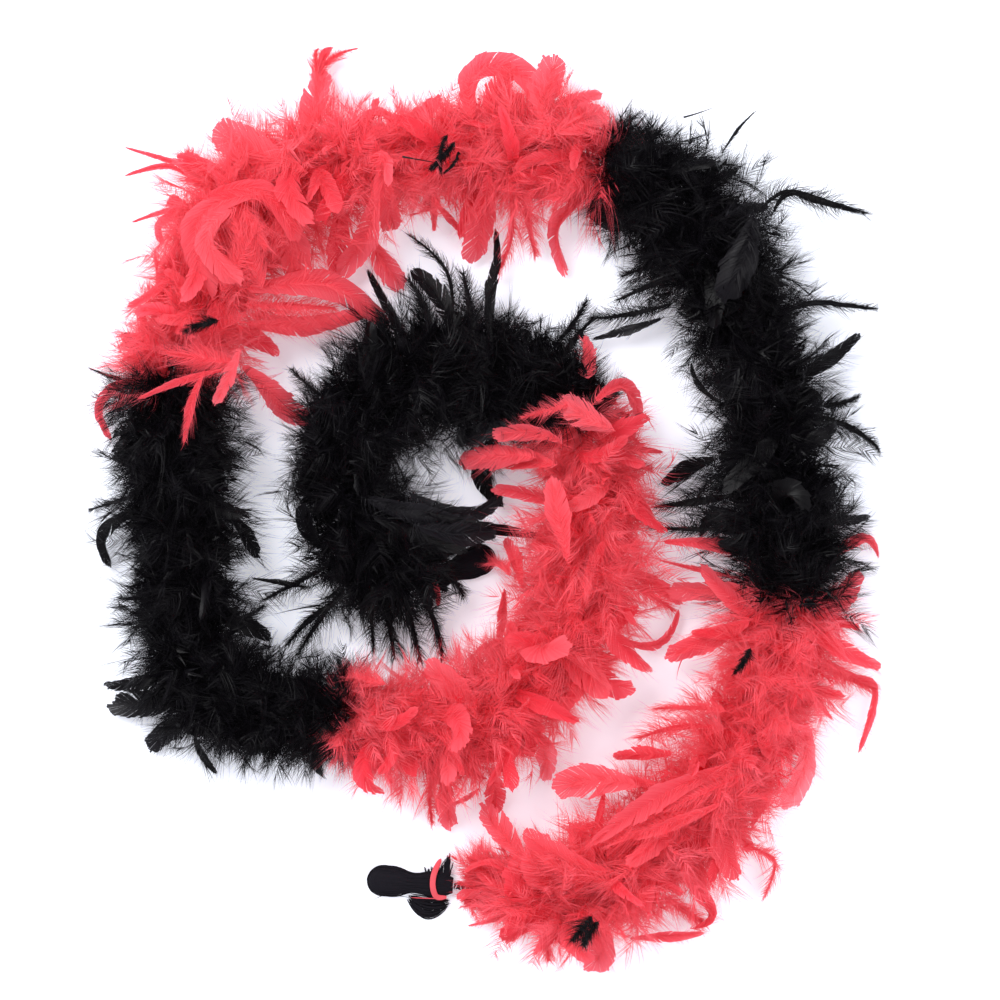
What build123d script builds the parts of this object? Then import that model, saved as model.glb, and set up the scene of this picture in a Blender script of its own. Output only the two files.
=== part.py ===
"""Feather boa, lying on the plane z = 0 as a flat spiral of two turns. Sizes are in millimetres.

A black core cord carries all the plumage. It is followed here as six sections, one for each
colour block, counted from the outer end of the spiral to the inner one. Sections meet at bend
points, where the boa hinges. At each end the core's yarn is doubled back into a loop.
"""
from build123d import *
import os
from math import radians, tan

os.makedirs("parts", exist_ok=True)

CORE_RADIUS = 2.0
THREAD_RADIUS = 0.4
THREAD_RISE = 2.2  # from the core's middle up to the stitching's middle
LIE = 24.0  # height of the core above the surface that the plumage rests on
FLATNESS = 0.78  # the plumage's height as a share of its width
BEND_CLEARANCE = 2.6  # from a bend point to the ends of the core on both sides of it

# Where one section ends and the next begins.
OUTER_TIP = (-17, -219, 5)
BEND_1_2 = (181, -53, LIE)
BEND_2_3 = (72, 203, LIE)
BEND_3_4 = (-183, 77, LIE)
BEND_4_5 = (-80, -121, LIE)
BEND_5_6 = (60, 54, LIE)
INNER_TIP = (-41, -46, 5)

# The core's route through each section.
ROUTE_1 = [OUTER_TIP, (8, -222, 10), (30, -227, 18), (60, -223, LIE), (92, -203, LIE),
           (126, -174, LIE), (152, -138, LIE), (168, -98, LIE), BEND_1_2]
ROUTE_2 = [BEND_1_2, (175, -13, LIE), (170, 34, LIE), (164, 75, LIE), (146, 115, LIE),
           (131, 152, LIE), (108, 186, LIE), BEND_2_3]
ROUTE_3 = [BEND_2_3, (33, 209, LIE), (-8, 207, LIE), (-48, 204, LIE), (-88, 197, LIE),
           (-127, 183, LIE), (-154, 159, LIE), (-165, 124, LIE), BEND_3_4]
ROUTE_4 = [BEND_3_4, (-182, 39, LIE), (-174, 5, LIE), (-171, -30, LIE), (-176, -65, LIE),
           (-166, -99, LIE), (-141, -117, LIE), (-108, -118, LIE), BEND_4_5]
ROUTE_5 = [BEND_4_5, (-48, -131, LIE), (-13, -126, LIE), (20, -108, LIE), (45, -79, LIE),
           (58, -44, LIE), (60, -9, LIE), (64, 23, LIE), BEND_5_6]
ROUTE_6 = [BEND_5_6, (40, 74, LIE), (9, 82, LIE), (-25, 86, LIE), (-57, 78, LIE),
           (-80, 55, LIE), (-87, 25, LIE), (-80, -7, LIE), (-65, -33, 16), INNER_TIP]
ROUTES = [ROUTE_1, ROUTE_2, ROUTE_3, ROUTE_4, ROUTE_5, ROUTE_6]

# Each section's plumage is a row of round tufts, evenly spaced: the distance along the core
# from its two ends to the first and last tuft, and the tufts' radii. The tufts beside a bend
# are small and stand back from it, so that the bend can turn.
TUFTS = [
    ((17, 41), [14, 20, 28, 37, 41, 42, 41, 39, 34]),
    ((41, 41), [34, 41, 45, 45, 43, 41, 39, 33]),
    ((41, 39), [33, 41, 45, 38, 38, 40, 42, 40, 34]),
    ((39, 38), [34, 37, 36, 36, 37, 38, 34, 32]),
    ((38, 38), [32, 38, 41, 42, 42, 41, 38, 32]),
    ((38, 20), [32, 36, 36, 36, 35, 34, 32, 24, 11]),
]

# The yarn doubled back at an end, seen from above, along its own x axis from the core's tip.
LOOP_HEIGHT = 7.0
BULB_RADIUS = 9.0
BULB_MIDDLES = (42.0, 34.0)  # the bulb is longer than wide
NECK_RADIUS = 4.5
NECK_MIDDLE = 19.0
BOUND_RADIUS = 7.0  # the stretch that the feather strip binds
BOUND_MIDDLES = (19.0, 9.5)
FOLD_HEIGHT = 5.0
CUT_ENDS_HEIGHT = 4.0
STRIP_WIDTH = 3.4
STRIP_THICKNESS = 0.8


def corner_radii(points):
    """Each corner takes the largest arc that its two runs allow."""
    radii = []
    for before, corner, after in zip(points, points[1:], points[2:]):
        run_in = Vector(*corner) - Vector(*before)
        run_out = Vector(*after) - Vector(*corner)
        half_turn = radians(run_in.get_angle(run_out)) / 2
        radii.append(0.45 * min(run_in.length, run_out.length) / tan(half_turn))
    return radii


def clear_of_bends(points):
    """The same route, stopping short of the bend at each end."""
    points = [Vector(*point) for point in points]
    first_run = (points[1] - points[0]).normalized()
    last_run = (points[-1] - points[-2]).normalized()
    points[0] += first_run * BEND_CLEARANCE
    points[-1] -= last_run * BEND_CLEARANCE
    return [tuple(point) for point in points]


def route(points):
    """Straight runs joined by tangent arcs."""
    return FilletPolyline(*points, radius=corner_radii(points))


def tube(name, points, radius):
    points = clear_of_bends(points)
    path = route(points)
    start = Plane(origin=path @ 0, z_dir=path % 0)
    solid = sweep(start * Circle(radius), path=path)
    expected = Circle(radius).area * path.length
    arcs = ", ".join(f"{arc:.0f}" for arc in corner_radii(points))
    print(f"{name}: {path.length:.0f} mm long, volume {solid.volume / expected:.3f} of section"
          f" times length, arc radii {arcs}")
    return solid


def plumage(points, insets, girths):
    """A row of round tufts, run into each other, that lies flat on the surface. It is made at
    its full height, flattened so that its tufts are wider than high, and cut off level."""
    path = route([(x, y, z / FLATNESS) for x, y, z in points])
    spacing = (path.length - sum(insets)) / (len(girths) - 1)
    tufts = []
    for step, girth in enumerate(girths):
        along = (insets[0] + step * spacing) / path.length
        sideways = (path % along).cross(Vector(0, 0, 1))
        tufts.append(Plane(origin=path @ along, x_dir=sideways, z_dir=(0, 0, 1)) * Sphere(girth))
    row = scale(tufts[0].fuse(*tufts[1:]), by=(1, 1, FLATNESS))
    return split(row, bisect_by=Plane.XY, keep=Keep.TOP)


def disc(x, y, radius):
    return (Pos(x, y) * Circle(radius)).edge()


def lay_of_yarn(outline, height):
    """Yarn lying flat on the surface, rounded over at the top."""
    slab = extrude(outline, height)
    return fillet(slab.edges().group_by(Axis.Z)[-1], 0.4 * height)


def loop():
    """The doubled yarn: a closed bulb, a neck and the bound stretch."""
    bulb = make_hull([disc(x, 0, BULB_RADIUS) for x in BULB_MIDDLES])
    neck = make_hull([disc(x, 0, NECK_RADIUS) for x in (BULB_MIDDLES[1], NECK_MIDDLE)])
    bound = make_hull([disc(x, 0, BOUND_RADIUS) for x in BOUND_MIDDLES])
    return lay_of_yarn(bulb + neck + bound, LOOP_HEIGHT)


def fold(side):
    """The spare yarn, folded back beside the bound stretch."""
    outline = make_hull([disc(20, side * 12, 5), disc(9, side * 11, 3.5)])
    return lay_of_yarn(outline, FOLD_HEIGHT)


def cut_ends(side):
    """The yarn's cut ends, standing out of the binding in a fan."""
    fan = make_hull([disc(6, -side * 7, 1.5), disc(5, -side * 14, 2.6), disc(8, -side * 13, 2.2)])
    return lay_of_yarn(fan, CUT_ENDS_HEIGHT)


def strip(side):
    """A narrow strip of feather that binds the end, over the top and down both sides."""
    points = [(9, -side * 15, 2.2), (11.5, -side * 10, 5.5), (13, -side * 4, LOOP_HEIGHT + 0.6),
              (12.5, side * 3, LOOP_HEIGHT + 0.5), (9.5, side * 9, 4.8)]
    path = Spline(*points)
    start = Plane(origin=path @ 0, x_dir=(1, 0, 0), z_dir=path % 0)
    return sweep(start * Rectangle(STRIP_WIDTH, STRIP_THICKNESS), path=path)


def yarn_end(prefix, tip, turn, side):
    """The four pieces of one end, laid at the core's tip and turned about the vertical."""
    place = Pos(tip[0], tip[1], 0) * Rot(0, 0, turn)
    return {
        f"{prefix}_loop": place * loop(),
        f"{prefix}_fold": place * fold(side),
        f"{prefix}_cut_ends": place * cut_ends(side),
        f"{prefix}_strip": place * strip(side),
    }


nodes = {}
for number, (points, (insets, girths)) in enumerate(zip(ROUTES, TUFTS), start=1):
    stitches = [(x, y, z + THREAD_RISE) for x, y, z in points]
    nodes[f"core_cord_{number}"] = tube(f"core_cord_{number}", points, CORE_RADIUS)
    nodes[f"stitch_thread_{number}"] = tube(f"stitch_thread_{number}", stitches, THREAD_RADIUS)
    nodes[f"plumage_{number}"] = plumage(points, insets, girths)
nodes.update(yarn_end("outer", OUTER_TIP, turn=176, side=1))
nodes.update(yarn_end("inner", INNER_TIP, turn=24, side=1))

for name, shape in nodes.items():
    export_step(shape, f"parts/{name}.step")

boxes = [shape.bounding_box() for shape in nodes.values()]
for axis in ("X", "Y", "Z"):
    low = min(getattr(box.min, axis) for box in boxes)
    high = max(getattr(box.max, axis) for box in boxes)
    print(f"{axis} from {low:.1f} to {high:.1f}")
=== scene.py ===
"""Feather boa: the looks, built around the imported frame. Metres, +Z up."""
import math

import bpy
import numpy as np
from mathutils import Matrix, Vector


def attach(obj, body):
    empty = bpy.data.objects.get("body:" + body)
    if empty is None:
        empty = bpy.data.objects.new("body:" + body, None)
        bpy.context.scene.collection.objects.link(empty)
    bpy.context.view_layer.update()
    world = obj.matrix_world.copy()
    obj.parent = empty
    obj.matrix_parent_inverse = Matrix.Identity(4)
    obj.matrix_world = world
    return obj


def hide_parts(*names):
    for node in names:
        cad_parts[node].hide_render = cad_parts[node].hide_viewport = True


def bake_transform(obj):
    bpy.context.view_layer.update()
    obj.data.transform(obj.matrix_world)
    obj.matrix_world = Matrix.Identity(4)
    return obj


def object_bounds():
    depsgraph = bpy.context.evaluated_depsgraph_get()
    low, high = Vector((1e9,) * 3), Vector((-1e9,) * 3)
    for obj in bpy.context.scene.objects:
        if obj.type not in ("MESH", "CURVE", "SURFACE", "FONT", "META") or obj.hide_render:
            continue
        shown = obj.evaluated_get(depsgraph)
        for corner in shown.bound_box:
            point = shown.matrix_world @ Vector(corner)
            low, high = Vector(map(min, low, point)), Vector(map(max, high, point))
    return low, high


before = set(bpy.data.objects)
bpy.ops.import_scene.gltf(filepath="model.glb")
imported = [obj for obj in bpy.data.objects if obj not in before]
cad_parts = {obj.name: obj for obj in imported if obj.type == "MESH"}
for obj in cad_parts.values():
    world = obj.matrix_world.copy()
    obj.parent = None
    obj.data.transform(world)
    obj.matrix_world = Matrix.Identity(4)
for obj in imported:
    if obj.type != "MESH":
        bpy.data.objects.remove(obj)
cad_box = [list(corner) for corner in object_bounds()]

MM = 0.001
LIE = 24  # height of the core over the surface, in millimetres like the routes below
FLATNESS = 0.8  # how far a feather points up, as a share of how far it points to the side

# The core's route, repeated from the part's source.
OUTER_TIP = (-17, -219, 5)
BEND_1_2 = (181, -53, LIE)
BEND_2_3 = (72, 203, LIE)
BEND_3_4 = (-183, 77, LIE)
BEND_4_5 = (-80, -121, LIE)
BEND_5_6 = (60, 54, LIE)
INNER_TIP = (-41, -46, 5)
ROUTES = [
    [OUTER_TIP, (8, -222, 10), (30, -227, 18), (60, -223, LIE), (92, -203, LIE),
     (126, -174, LIE), (152, -138, LIE), (168, -98, LIE), BEND_1_2],
    [BEND_1_2, (175, -13, LIE), (170, 34, LIE), (164, 75, LIE), (146, 115, LIE),
     (131, 152, LIE), (108, 186, LIE), BEND_2_3],
    [BEND_2_3, (33, 209, LIE), (-8, 207, LIE), (-48, 204, LIE), (-88, 197, LIE),
     (-127, 183, LIE), (-154, 159, LIE), (-165, 124, LIE), BEND_3_4],
    [BEND_3_4, (-182, 39, LIE), (-174, 5, LIE), (-171, -30, LIE), (-176, -65, LIE),
     (-166, -99, LIE), (-141, -117, LIE), (-108, -118, LIE), BEND_4_5],
    [BEND_4_5, (-48, -131, LIE), (-13, -126, LIE), (20, -108, LIE), (45, -79, LIE),
     (58, -44, LIE), (60, -9, LIE), (64, 23, LIE), BEND_5_6],
    [BEND_5_6, (40, 74, LIE), (9, 82, LIE), (-25, 86, LIE), (-57, 78, LIE),
     (-80, 55, LIE), (-87, 25, LIE), (-80, -7, LIE), (-65, -33, 16), INNER_TIP],
]
COLOURS = ["red", "black", "red", "black", "red", "black"]
# How far the plumage reaches from the core, in millimetres, at evenly spaced places along each
# section: first on the right of the way from the outer tip to the inner one, then on the left.
GIRTHS = [
    ([12, 14, 34, 40, 34, 44, 38, 36, 44, 38], [12, 34, 42, 44, 48, 46, 44, 34, 42, 48]),
    ([36, 42, 42, 37, 38, 50, 46, 26], [44, 48, 54, 34, 42, 50, 48, 44]),
    ([26, 42, 34, 32, 46, 46, 40, 28, 32], [42, 36, 46, 34, 46, 44, 48, 46, 44]),
    ([38, 36, 44, 34, 40, 38, 32, 30], [48, 46, 40, 44, 38, 42, 36, 36]),
    ([28, 36, 42, 34, 42, 48, 42, 28], [34, 42, 44, 38, 42, 46, 30, 38]),
    ([24, 34, 40, 40, 34, 28, 28, 42, 42], [42, 54, 60, 60, 54, 48, 42, 46, 40]),
]
TOP_RISE = 4  # how much further it reaches upwards than to the sides
TOP_GIRTH = 42  # but no further than this
# The plumage is tufted: its reach rises and falls along the core in waves. Each has its length, in
# millimetres, and how many times it winds round the core.
TUFT_WAVES = [(23, 1), (31, -2), (17, 3), (41, 2)]
TUFTING = 0.055  # the share that each wave adds and takes away

# The feathers that stand out are laid one by one on each section, in millimetres. Flat ones have
# how far their barbs reach, how blunt the tip is (0 to 1), how pale they are, and their route
# from root to tip. On the black sections the paleness is a painted grey sheen.
FLATS = [
    [  # section 1, red
        (4, 0.3, 0, (190, -30, 20), (212, -20, 14), (224, -14, 10), (231, -26, 8)),
        (8, 0.6, 0, (185, -65, 34), (205, -55, 24), (214, -40, 14)),
        (8, 1, 0.1, (165, -48, 38), (140, -46, 28), (115, -46, 18)),
        (2, 0.1, 0, (150, -40, 20), (125, -35, 14), (102, -29, 10)),
        (9, 0.7, 0, (155, -62, 44), (135, -72, 32), (112, -82, 20)),
        (4.5, 0.2, 0, (195, -84, 26), (213, -98, 16), (229, -100, 10), (228, -115, 8),
         (219, -140, 6)),
        (9, 1, 0.5, (185, -120, 24), (193, -140, 14), (180, -165, 8)),
        (6, 0.6, 0, (120, -243, 12), (133, -242, 10), (133, -230, 10), (120, -212, 12)),
        (4, 0.5, 0, (85, -248, 16), (105, -248, 12), (125, -246, 10)),
        (11, 1, 0.1, (68, -235, 30), (72, -250, 18), (66, -262, 8)),
        (8, 1, 0.1, (25, -203, 30), (14, -192, 22), (3, -178, 14)),
        (8.5, 0.2, 0, (148, -145, 46), (126, -150, 58), (96, -163, 64), (64, -188, 56)),
        (5, 0.3, 0, (137, -166, 54), (114, -177, 62), (88, -186, 56)),
        (8, 0.5, 0, (74, -206, 52), (50, -206, 58), (28, -188, 46)),
        (12, 0.9, 0.1, (90, -158, 48), (70, -152, 38), (50, -158, 24)),
        (5, 0.4, 0, (110, -140, 38), (95, -140, 26), (78, -143, 14)),
        (2, 0.1, 0, (22, -228, 14), (14, -238, 9), (-8, -242, 6)),
        (2, 0.1, 0, (26, -228, 14), (24, -238, 8), (20, -246, 6)),
    ],
    [  # section 2, black
        (7, 0.3, 0, (172, 70, 34), (197, 84, 24), (216, 100, 12)),
        (1.4, 0.1, 0, (137, 205, 34), (147, 222, 22), (158, 232, 12)),
        (11, 0.9, 0.2, (154, 170, 54), (152, 152, 62), (143, 130, 58)),
        (5, 0.8, 0.5, (138, 168, 50), (150, 174, 38), (162, 174, 26)),
        (5, 0.3, 0.5, (190, -2, 24), (205, -8, 16), (222, -4, 8)),
        (2.5, 0.3, 0, (137, 62, 24), (122, 72, 14), (121, 84, 10)),
        (8, 0.2, 0, (135, 30, 30), (118, 26, 20), (107, 17, 12)),
        (8, 0.8, 0.5, (172, -18, 40), (155, -12, 34), (135, -5, 26)),
        (6, 0.6, 0.5, (175, -22, 34), (155, -22, 30), (137, -18, 24)),
        (4, 0.1, 0, (140, 0, 26), (130, -5, 18), (127, -14, 10)),
        (2.5, 0.1, 0, (165, 168, 40), (172, 186, 32), (192, 180, 22), (219, 173, 12)),
        (2.5, 0.1, 0, (175, 118, 34), (190, 121, 26), (208, 119, 16), (228, 117, 10)),
        (3, 0.4, 0.5, (105, 112, 20), (85, 104, 12), (65, 100, 8)),
        (9, 0.6, 0, (95, 170, 44), (80, 165, 32), (66, 172, 22)),
    ],
    [  # section 3, red
        (9, 0.9, 0, (-104, 205, 40), (-100, 225, 34), (-96, 243, 22), (-94, 250, 16)),
        (3.5, 1, 0, (-96, 255, 12), (-94, 264, 10), (-91, 272, 8)),
        (2.2, 0.3, 0, (-163, 190, 20), (-172, 199, 16), (-185, 204, 12), (-208, 211, 8)),
        (2.5, 0.3, 0, (-165, 188, 18), (-176, 199, 14), (-190, 201, 10), (-208, 195, 7)),
        (2.2, 0.2, 0, (-160, 178, 22), (-180, 177, 14), (-204, 168, 8)),
        (4, 0.8, 0, (-165, 168, 20), (-180, 172, 12), (-191, 166, 8), (-188, 158, 8)),
        (13, 1, 0, (-100, 193, 50), (-124, 203, 48), (-146, 214, 34)),
        (11, 0.8, 0, (-125, 180, 62), (-155, 178, 64), (-168, 155, 60), (-160, 132, 52)),
        (9, 0.8, 0.1, (-140, 172, 64), (-155, 165, 66), (-158, 148, 64), (-145, 135, 60)),
        (8, 0.6, 0, (-160, 178, 58), (-140, 186, 63), (-118, 178, 62), (-108, 160, 54)),
        (10, 0.6, 0, (-115, 182, 60), (-112, 160, 48), (-108, 137, 30)),
        (9, 1, 0, (-58, 205, 64), (-58, 185, 60), (-52, 166, 34)),
        (8, 1, 0.1, (-60, 190, 54), (-62, 172, 44), (-70, 152, 22), (-80, 143, 12)),
        (8, 0.8, 0.1, (-66, 160, 20), (-62, 148, 14), (-52, 136, 8)),
        (9, 0.7, 0, (-140, 126, 50), (-115, 130, 42), (-90, 132, 32), (-72, 122, 24),
         (-60, 112, 18)),
        (7, 0.6, 0, (-140, 108, 40), (-110, 104, 28), (-90, 108, 22), (-70, 114, 20)),
        (3.5, 0.8, 0, (-45, 222, 34), (-55, 228, 30), (-64, 232, 24), (-62, 237, 20)),
        (10, 0.8, 0.1, (-5, 220, 40), (-10, 238, 36), (-8, 252, 30), (8, 259, 26), (24, 252, 24),
         (33, 238, 26)),
        (8, 0.6, 0, (2, 216, 36), (5, 236, 30), (14, 252, 26)),
        (11, 1, 0.1, (34, 222, 42), (34, 240, 36), (40, 255, 28)),
        (5, 1, 0.1, (36, 230, 36), (52, 238, 28), (64, 241, 20)),
        (11, 0.7, 0.2, (40, 215, 52), (55, 222, 46), (62, 226, 36)),
        (5, 0.3, 0, (5, 218, 46), (-8, 226, 38), (-20, 232, 26)),
        (9, 1, 0, (3, 195, 50), (2, 175, 36), (-4, 152, 16)),
        (2.2, 0.4, 0, (-30, 182, 30), (-28, 172, 20), (-29, 163, 12)),
        (2.2, 0.4, 0, (-30, 180, 30), (-18, 168, 20), (-10, 158, 12)),
        (5.5, 1, 0.1, (62, 182, 34), (45, 172, 24), (40, 158, 14), (46, 142, 8)),
        (2.2, 0.2, 0, (-165, 106, 34), (-185, 104, 24), (-213, 101, 12)),
        (2.5, 0.2, 0, (-170, 98, 30), (-190, 98, 20), (-211, 96, 12)),
        (5, 0.5, 0, (-185, 74, 30), (-205, 76, 20), (-220, 68, 14), (-226, 56, 10), (-219, 44, 8)),
        (3, 0.2, 0, (-145, 80, 63), (-165, 78, 65), (-195, 64, 58)),
        (4.5, 0.1, 0, (-158, 80, 64), (-166, 64, 66), (-170, 40, 60)),
        (4, 1, 0.1, (-138, 92, 66), (-142, 78, 67), (-150, 64, 62)),
        (9, 0.8, 0.1, (-140, 85, 54), (-125, 72, 42), (-118, 60, 28), (-105, 52, 18),
         (-95, 54, 14)),
    ],
    [  # section 4, black
        (8, 0.9, 0.5, (-175, 70, 26), (-190, 82, 18), (-205, 98, 10)),
        (1.6, 0.1, 0, (-200, 72, 18), (-218, 78, 12), (-230, 83, 8)),
        (10, 0.9, 0.4, (-165, 30, 40), (-185, 30, 28), (-208, 36, 12)),
        (5, 0.4, 0, (-195, 2, 20), (-214, -4, 14), (-225, -18, 10), (-219, -30, 8)),
        (6, 1, 0, (-150, 0, 30), (-140, -8, 26), (-133, -22, 16)),
        (9, 1, 0.4, (-165, -112, 24), (-185, -112, 16), (-208, -113, 6)),
        (9, 0.9, 0.4, (-165, -115, 20), (-180, -125, 12), (-190, -134, 6)),
        (3, 0.3, 0, (-168, -130, 14), (-166, -142, 8), (-157, -152, 6)),
    ],
    [  # section 5, red
        (5, 0.2, 0, (60, 75, 56), (62, 85, 48), (58, 98, 36)),
        (6, 0.6, 0, (62, 60, 60), (75, 75, 52), (88, 66, 38), (90, 54, 26)),
        (9, 1, 0.1, (75, 45, 64), (60, 52, 66), (52, 56, 62)),
        (7, 0.8, 0, (45, 38, 62), (35, 46, 64), (12, 44, 56)),
        (9, 0.8, 0, (30, 30, 54), (15, 34, 46), (-8, 30, 34)),
        (9, 1, 0.1, (42, 26, 54), (24, 30, 42), (12, 28, 30)),
        (8.5, 0.6, 0, (48, -30, 64), (44, -10, 66), (40, 12, 62)),
        (5, 0.5, 0, (22, -45, 30), (20, -30, 22), (14, -20, 14)),
        (4, 0.5, 0, (12, -45, 26), (12, -60, 18), (10, -72, 14)),
        (7, 1, 0.1, (-22, -150, 34), (-22, -165, 20), (-20, -179, 8)),
        (2, 0.1, 0, (-2, -160, 24), (-8, -168, 14), (-20, -172, 8)),
        (7, 0.8, 0, (5, -150, 28), (8, -165, 16), (6, -172, 10)),
        (8, 0.4, 0.5, (25, -125, 28), (38, -135, 16), (36, -152, 8)),
        (3, 0.2, 0, (30, -100, 34), (40, -110, 20), (52, -124, 8)),
        (3, 0.2, 0, (75, 35, 40), (90, 36, 26), (103, 34, 12)),
        (6, 0.3, 0, (100, -18, 34), (125, -18, 26), (150, -24, 18), (163, -24, 14)),
        (3, 0.4, 0, (75, -72, 16), (92, -82, 10), (110, -74, 8), (113, -60, 8)),
        (7, 0.5, 0, (80, -32, 26), (96, -40, 18), (112, -52, 10)),
    ],
    [  # section 6, black
        (4, 0.2, 0, (4, 92, 38), (2, 125, 24), (9, 146, 14), (7, 162, 8)),
        (7, 0.6, 0, (-15, 98, 42), (-22, 124, 30), (-38, 136, 18)),
        (5, 0.3, 0, (-40, 92, 40), (-53, 114, 26), (-66, 138, 12)),
        (7, 0.5, 0.5, (-45, 11, 40), (-25, -1, 32), (-2, -4, 22), (8, 6, 12)),
        (4.5, 0.2, 0, (-35, 0, 44), (-5, -10, 32), (15, -12, 18), (37, -16, 8)),
        (9, 0.7, 0.4, (-40, -8, 48), (-20, -15, 44), (0, -12, 30)),
        (8, 0.6, 0.5, (20, 50, 48), (0, 46, 42), (-12, 42, 30)),
        (6, 0.5, 0, (0, 42, 24), (-4, 28, 16), (0, 12, 10), (8, 5, 8)),
        (2, 0.1, 0, (-100, -45, 20), (-120, -42, 14), (-134, -40, 10)),
        (8, 0.6, 0.4, (-70, 8, 46), (-40, -4, 44), (-8, -8, 30)),
        (7, 0.5, 0, (-66, -2, 46), (-40, -14, 42), (-14, -22, 28)),
    ],
]
# Limp plumes have how far their barbs reach, and their route.
PLUMES = [
    [  # section 1, red
        (10, (192, -88, 24), (210, -98, 14), (228, -104, 10)),
        (8, (150, -192, 24), (165, -200, 14), (172, -205, 10), (164, -225, 6)),
        (9, (104, -222, 24), (116, -232, 14), (128, -240, 8)),
        (9, (38, -235, 24), (35, -250, 14), (38, -262, 8)),
        (12, (150, -150, 48), (128, -158, 58), (104, -170, 58)),
        (10, (128, -166, 52), (100, -178, 60), (72, -190, 54)),
        (12, (76, -212, 52), (52, -210, 58), (30, -198, 48)),
        (12, (140, -125, 46), (115, -120, 34), (90, -132, 20)),
        (8, (140, -115, 44), (118, -112, 30), (100, -115, 20)),
        (8, (30, -222, 20), (10, -219, 14), (-14, -217, 9)),
        (7, (34, -228, 20), (14, -232, 12), (-12, -226, 8)),
    ],
    [  # section 2, black
        (12, (156, 168, 40), (168, 186, 34), (190, 181, 24), (222, 173, 12)),
        (9, (165, 110, 36), (185, 120, 28), (205, 120, 18), (230, 117, 10)),
        (10, (190, 55, 30), (215, 50, 20), (232, 34, 10)),
        (6, (195, 60, 24), (212, 62, 16), (218, 66, 10)),
        (9, (110, 120, 26), (85, 112, 14), (62, 112, 8)),
        (12, (130, 140, 40), (105, 135, 28), (78, 122, 14)),
        (10, (120, 150, 36), (98, 142, 24), (80, 136, 12)),
        (12, (150, 10, 40), (125, 5, 28), (98, 2, 12)),
        (10, (150, -10, 36), (122, -12, 22), (96, -10, 10)),
    ],
    [  # section 3, red
        (7, (-98, 240, 18), (-96, 252, 14), (-92, 262, 10), (-74, 271, 8)),
        (5, (-97, 245, 16), (-97, 256, 12), (-98, 266, 10), (-97, 270, 8)),
        (9, (-160, 188, 22), (-168, 197, 18), (-172, 208, 14)),
        (13, (-150, 124, 50), (-140, 142, 60), (-128, 160, 62)),
        (12, (-126, 126, 50), (-132, 148, 60), (-142, 166, 62)),
        (12, (-148, 186, 50), (-136, 170, 62), (-124, 150, 60)),
        (14, (-138, 118, 46), (-112, 118, 34), (-86, 117, 20)),
        (12, (-136, 112, 40), (-110, 110, 28), (-88, 108, 16)),
        (8, (-60, 215, 40), (-45, 228, 36), (-32, 232, 28)),
        (13, (6, 214, 36), (7, 234, 30), (12, 250, 24)),
        (12, (15, 190, 44), (18, 170, 28), (14, 148, 12), (8, 138, 8)),
        (10, (22, 185, 40), (26, 165, 24), (30, 148, 10)),
        (6, (-192, 72, 26), (-198, 82, 20), (-204, 92, 14)),
        (12, (-140, 84, 62), (-160, 86, 64), (-180, 90, 60)),
    ],
    [  # section 4, black
        (6, (-185, 14, 26), (-205, 8, 14), (-230, 0, 6)),
        (7, (-150, -75, 24), (-140, -62, 14), (-128, -56, 8)),
    ],
    [  # section 5, red
        (7, (-80, -135, 44), (-95, -128, 36), (-112, -122, 24)),
        (9, (-55, -100, 44), (-70, -95, 40), (-82, -95, 30)),
        (5, (55, 62, 60), (40, 58, 60), (22, 53, 56)),
        (8, (15, -38, 34), (12, -28, 24), (3, -30, 12)),
        (8, (-30, -150, 34), (-32, -165, 20), (-30, -182, 8)),
        (6, (40, -90, 28), (60, -92, 14), (78, -86, 8)),
        (8, (75, 25, 40), (88, 26, 26), (98, 24, 12)),
        (9, (78, -36, 26), (94, -46, 16), (110, -58, 8)),
    ],
    [  # section 6, black
        (9, (-18, 98, 40), (-16, 130, 24), (-28, 150, 14), (-43, 160, 8)),
        (11, (-30, 98, 40), (-32, 118, 28), (-44, 134, 14)),
        (11, (-5, 98, 40), (-8, 120, 28), (-12, 138, 14)),
        (10, (40, 80, 40), (50, 98, 26), (64, 112, 12)),
        (8, (40, 95, 34), (52, 105, 18), (60, 122, 8)),
        (7, (-85, 60, 40), (-100, 70, 24), (-112, 82, 10)),
        (10, (-40, -42, 26), (-27, -62, 16), (-24, -87, 8)),
        (12, (-60, -35, 26), (-56, -58, 18), (-52, -86, 8)),
        (11, (-50, -38, 26), (-42, -60, 16), (-37, -88, 8)),
        (10, (-66, -30, 30), (-66, -56, 18), (-64, -82, 8)),
        (9, (-85, -30, 34), (-105, -40, 22), (-128, -52, 8)),
        (9, (-80, -45, 30), (-98, -66, 18), (-108, -84, 8)),
        (7, (-30, -30, 34), (-15, -40, 20), (-12, -50, 12)),
        (8, (-85, -52, 24), (-100, -60, 16), (-114, -78, 8)),
        (12, (-75, 10, 42), (-45, 2, 36), (-10, -8, 24)),
        (12, (-75, 0, 42), (-45, -10, 36), (-12, -18, 22)),
        (11, (-72, -10, 40), (-48, -18, 34), (-20, -30, 20)),
        (10, (-70, 14, 42), (-50, 4, 38), (-28, -4, 26)),
        (8, (5, 50, 40), (2, 32, 28), (4, 10, 14)),
        (11, (-48, -20, 40), (-28, -16, 34), (-4, -20, 20)),
        (10, (-40, -5, 40), (-18, -6, 30), (4, -16, 14)),
        (9, (-50, -30, 34), (-30, -26, 24), (-12, -24, 16)),
    ],
]
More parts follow.
